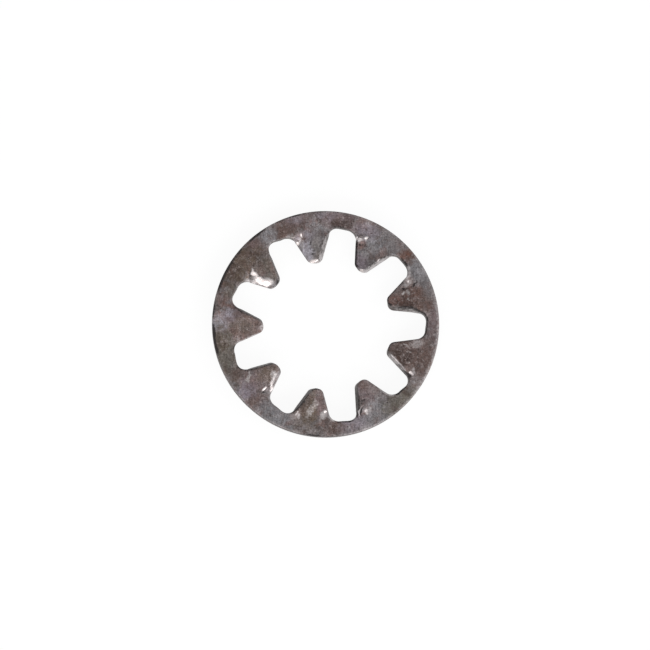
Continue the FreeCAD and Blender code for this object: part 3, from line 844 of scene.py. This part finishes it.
def face_steel():
    """The rolled faces: dull, mottled and stained steel, scratched, pitted, and rubbed in places, with
    painted highlights and painted shade from the stored marks and edge tones.
    """
    material, tree, shader, point = new_steel("worn_face_and_painted_light")
    cloud = use_group(tree, MOTTLING, point, Scale=0.65)
    grain = noise(tree, point, 9.0, 4.0, 0.75)
    flaking = maths(tree, "MULTIPLY", attribute(tree, "scaly"), 0.9)
    colour = mix_colour(tree, cloud, STEEL_DARK, STEEL_LIGHT)
    colour = flecked(
        tree, point, colour,
        (0.9, 0.47, 0.55, RED_BROWN),
        (1.1, 0.48, 0.60, COOL_GREY),
    )
    colour = stained(tree, point, colour)
    colour = flecked(
        tree, point, colour,
        (1.4, 0.52, 0.50, BROWN),
        (3.1, 0.55, 0.75, DEEP_BROWN),
        (3.9, 0.55, 0.45, PALE),
        (6.5, 0.56, 0.75, GRIME_AND_SHADE),
        (3.3, 0.49, flaking, DEEP_BROWN),
        (3.7, 0.53, flaking, PALE),
    )
    rolled = vector_maths(tree, "MULTIPLY", point, (11.0, 1.6, 1.0))
    colour = shaded(tree, colour, noise(tree, rolled, 1.0, 3.0, 0.6), 0.82, 1.20)
    colour = shaded(tree, colour, noise(tree, point, 1.25, 3.0, 0.6), 0.88, 1.14)
    colour = shaded(tree, colour, grain, 0.70, 1.41)
    along = use_group(tree, SCRATCHES, point, Turn=0.5, Fineness=11.0, Amount=0.018)
    across = use_group(tree, SCRATCHES, point, Turn=-0.9, Fineness=15.0, Amount=0.014)
    scratches = maths(tree, "MAXIMUM", along, across)
    colour = mix_colour(tree, maths(tree, "MULTIPLY", scratches, 0.35), colour, RUBBED_STEEL_AND_SHEEN)
    pits = use_group(tree, PITS, point, Scale=3.2, Share=0.22)
    colour = mix_colour(tree, maths(tree, "MULTIPLY", pits, 0.45), colour, DEEP_BROWN)
    edge = use_group(tree, EDGE_WEAR, point, Nearness=attribute(tree, "edge"), Amount=0.14)
    colour = mix_colour(tree, edge, colour, RUBBED_STEEL_AND_SHEEN)
    # Painted highlights with bare steel, and painted shade with grime, from the stored marks and edge
    # tones
    wear_and_highlight, grime_and_shade = bright_and_dark_marks(tree, point)
    colour = mix_colour(tree, remap(tree, wear_and_highlight, 0.0, 0.6, 0.0, 0.85), colour, RUBBED_STEEL_AND_SHEEN)
    bare_and_highlight = remap(tree, wear_and_highlight, 0.45, 0.95)
    bright_wear_and_highlight = mix_colour(tree, remap(tree, grain, 0.30, 0.46), RUBBED_STEEL_AND_SHEEN, BARE_STEEL_AND_HIGHLIGHT)
    colour = mix_colour(tree, bare_and_highlight, colour, bright_wear_and_highlight)
    colour = mix_colour(tree, grime_and_shade, colour, GRIME_AND_SHADE)
    metal = mix_value(tree, bare_and_highlight, remap(tree, cloud, 0.0, 1.0, 0.55, 0.8), 1.0)
    dull = mix_value(tree, bare_and_highlight, remap(tree, grain, 0.25, 0.75, 0.36, 0.56), 0.28)
    height = maths(tree, "MULTIPLY", grain, 0.5)
    for pattern, rise in ((cloud, 0.9), (pits, -0.8), (scratches, -0.35)):
        height = maths(tree, "ADD", height, maths(tree, "MULTIPLY", pattern, rise))
    metal, dull = mix_value(tree, grime_and_shade, metal, 0.1), mix_value(tree, grime_and_shade, dull, 0.7)
    finish_steel(tree, shader, colour, metal, dull, height, 0.012)
    return material


def cut_steel():
    """The walls that the punch sheared: fine lines up the sheet's thickness, dark with scale and
    painted shade or bright with burnish and painted light by the tone stored along the slots, with
    painted highlights and shade from the stored marks."""
    material, tree, shader, point = new_steel("sheared_edge_and_painted_light")
    cloud = use_group(tree, MOTTLING, point, Scale=1.3)
    drawn = vector_maths(tree, "MULTIPLY", point, (14.0, 14.0, 0.8))
    lines = noise(tree, drawn, 1.0, 3.0, 0.6)
    colour = mix_colour(tree, cloud, WALL_DARK, WALL_LIGHT)
    colour = mix_colour(tree, remap(tree, lines, 0.5, 0.75, 0.0, 0.22), colour, RUBBED_STEEL_AND_SHEEN)
    colour = flecked(tree, point, colour, (2.9, 0.50, 0.4, DEEP_BROWN))
    # The stored wall tone paints light on some walls and shade on others, along with burnish and scale
    tone = attribute(tree, "wall_burnish_and_shading")
    patchy = maths(tree, "MULTIPLY", maths(tree, "SUBTRACT", cloud, 0.5), 0.5)
    burnish_and_light = remap(tree, maths(tree, "ADD", tone, patchy), 0.1, 1.0)
    colour = mix_colour(tree, burnish_and_light, colour, RUBBED_STEEL_AND_SHEEN)
    scale_and_shade = remap(tree, maths(tree, "MULTIPLY", tone, -1.0), 0.1, 1.0, 0.0, 0.9)
    colour = mix_colour(tree, scale_and_shade, colour, GRIME_AND_SHADE)
    edge = use_group(tree, EDGE_WEAR, point, Nearness=attribute(tree, "lip"), Amount=0.25)
    colour = mix_colour(tree, edge, colour, RUBBED_STEEL_AND_SHEEN)
    # Painted highlights with bare steel, and painted shade with grime, from the stored marks and edge
    # tones
    wear_and_highlight, grime_and_shade = bright_and_dark_marks(tree, point)
    burnish_and_highlight = mix_colour(tree, remap(tree, lines, 0.38, 0.58), RUBBED_STEEL_AND_SHEEN, BARE_STEEL_AND_HIGHLIGHT)
    colour = mix_colour(tree, remap(tree, wear_and_highlight, 0.0, 0.8), colour, burnish_and_highlight)
    colour = mix_colour(tree, grime_and_shade, colour, GRIME_AND_SHADE)
    metal = mix_value(tree, wear_and_highlight, 0.25, 0.8)
    dull = mix_value(tree, wear_and_highlight, remap(tree, lines, 0.3, 0.7, 0.42, 0.6), 0.3)
    finish_steel(tree, shader, colour, metal, dull, lines, 0.010)
    return material


inner, into_steel = hole_edge()
blank = flat_blank(inner, into_steel)
from_slot = np.maximum(np.sum((blank[..., :2] - inner) * into_steel, axis=-1), 0.0)
twisted = twist_teeth(blank)
pressed, mark_wear_and_highlight, mark_grime_and_shade = press_marks(twisted, blank)
edge_wear_and_highlight, edge_grime_and_shade, wall_burnish_and_shade = edge_tones(twisted, blank, from_slot)
washer_mesh = grid_mesh("toothed_washer", pressed)
# The stored shares of painted light and shade, with the wear, grime, burnish and scale they go with
store(washer_mesh, "wear_and_highlight", np.maximum(mark_wear_and_highlight, edge_wear_and_highlight))
store(washer_mesh, "grime_and_shade", np.maximum(mark_grime_and_shade, edge_grime_and_shade) * (1.0 - mark_wear_and_highlight))
store(washer_mesh, "wall_burnish_and_shading", wall_burnish_and_shade)
store(washer_mesh, "scaly", scaliness(twisted, blank))
store(washer_mesh, "edge", edge_nearness(blank, from_slot))
store(washer_mesh, "lip", smooth_step(np.abs(blank[..., 2]), HALF_SHEET * 0.75, HALF_SHEET))
washer_mesh.materials.append(face_steel())
washer_mesh.materials.append(cut_steel())

# The sheared walls take in the steep rows of the rounded edges beside them
FACE_ROWS = 3
first_bottom = TOP_ROWS + RIM_ROWS - 1 + WALL_ROWS + RIM_ROWS
rim_wall = (TOP_ROWS + RIM_ROWS - FACE_ROWS, first_bottom - FACE_ROWS)
slot_wall = (first_bottom + BOTTOM_ROWS + 1, len(blank) - FACE_ROWS)
sheared = np.zeros(blank.shape[:2], np.int32)
for first_row, end_row in (rim_wall, slot_wall):
    sheared[first_row:end_row] = 1
washer_mesh.polygons.foreach_set("material_index", sheared.ravel())
washer = bpy.data.objects.new("toothed_washer", washer_mesh)
bpy.context.scene.collection.objects.link(washer)
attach(washer, "root")
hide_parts("lock_washer")


def seen_directly(tree):
    """1 for the rays that show a thing itself: from the camera, a gloss or a clear material."""
    rays = tree.nodes.new("ShaderNodeLightPath").outputs
    mirrored = maths(tree, "MAXIMUM", rays["Is Glossy Ray"], rays["Is Transmission Ray"])
    return maths(tree, "MAXIMUM", rays["Is Camera Ray"], mirrored)


def white_light(tree, kind, strength):
    """An emission or a background in plain white."""
    node = tree.nodes.new(kind)
    node.inputs["Color"].default_value = (1.0, 1.0, 1.0, 1.0)
    node.inputs["Strength"].default_value = strength
    return node.outputs[0]


def show_mixed(tree, output, share, first, second):
    """Sends the first shader to the output where the share is 0, and the second where it is 1."""
    mix = tree.nodes.new("ShaderNodeMixShader")
    for socket, value in zip(mix.inputs, (share, first, second)):
        tree.links.new(value, socket)
    tree.links.new(mix.outputs[0], tree.nodes.new(output).inputs["Surface"])


def floor_material():
    """A pale floor: white to the camera, with part of its own shading so that the shadow shows."""
    material = bpy.data.materials.new("pale_floor")
    material.use_nodes = True
    tree = material.node_tree
    tree.nodes.clear()
    paint = tree.nodes.new("ShaderNodeBsdfDiffuse")
    paint.inputs["Color"].default_value = (0.8, 0.8, 0.8, 1.0)
    glow = white_light(tree, "ShaderNodeEmission", 1.05)
    share = maths(tree, "MULTIPLY", seen_directly(tree), 0.88)
    show_mixed(tree, "ShaderNodeOutputMaterial", share, paint.outputs[0], glow)
    return material


def make_floor():
    """A square floor under the lowest point of the teeth."""
    height = pressed[..., 2].min() * MM
    side = 1.5
    corners = [(x, y, height) for x, y in ((-side, -side), (side, -side), (side, side), (-side, side))]
    mesh = bpy.data.meshes.new("floor")
    mesh.from_pydata(corners, [], [(0, 1, 2, 3)])
    mesh.materials.append(floor_material())
    floor = bpy.data.objects.new("floor", mesh)
    bpy.context.scene.collection.objects.link(floor)


def studio_world():
    """White where the camera or a gloss sees it, and a dimmer plain light on everything else."""
    world = bpy.data.worlds.new("studio")
    world.use_nodes = True
    tree = world.node_tree
    tree.nodes.clear()
    room = white_light(tree, "ShaderNodeBackground", 0.47)
    backdrop = white_light(tree, "ShaderNodeBackground", 1.0)
    show_mixed(tree, "ShaderNodeOutputWorld", seen_directly(tree), room, backdrop)
    bpy.context.scene.world = world


def soft_lamp(name, azimuth, elevation, level):
    """A square lamp aimed at the washer. Its level is the light it gives a surface that faces it."""
    distance = 0.4
    side = 0.26
    turn, rise = math.radians(azimuth), math.radians(elevation)
    place = Vector((math.cos(turn) * math.cos(rise), math.sin(turn) * math.cos(rise), math.sin(rise)))
    data = bpy.data.lights.new(name, "AREA")
    data.shape = "SQUARE"
    data.size = side
    data.energy = level * math.pi * math.pi * distance ** 2
    lamp = bpy.data.objects.new(name, data)
    lamp.location = place * distance
    lamp.rotation_euler = place.to_track_quat("Z", "Y").to_euler()
    lamp.visible_camera = False
    bpy.context.scene.collection.objects.link(lamp)


def make_camera():
    """The photograph's camera: almost straight above, leaning a little to the lower left."""
    turn = math.radians(3.4)
    tip = math.radians(-6.7)
    right = Vector((math.cos(turn), 0.0, math.sin(turn)))
    up = Vector((math.sin(tip) * math.sin(turn), math.cos(tip), -math.sin(tip) * math.cos(turn)))
    back = right.cross(up)
    distance = 0.43
    pixels_per_mm = 12.618
    picture_side = 650
    field = picture_side / pixels_per_mm * MM
    rim_right = 0.6 / pixels_per_mm * MM
    rim_up = 0.85 / pixels_per_mm * MM
    data = bpy.data.cameras.new("camera")
    data.lens = data.sensor_width * distance / field
    data.clip_start = 0.01
    data.clip_end = 10.0
    camera = bpy.data.objects.new("camera", data)
    target = -right * rim_right - up * rim_up
    place = Matrix((right, up, back)).transposed().to_4x4()
    place.translation = target + back * distance
    camera.matrix_world = place
    bpy.context.scene.collection.objects.link(camera)
    bpy.context.scene.camera = camera


make_floor()
studio_world()
soft_lamp("lamp_lower_left", 240.0, 28.0, 0.33)
soft_lamp("lamp_lower_right", 295.0, 28.0, 0.42)
soft_lamp("lamp_right", 350.0, 28.0, 0.36)
make_camera()
bpy.context.scene.view_settings.view_transform = "Standard"
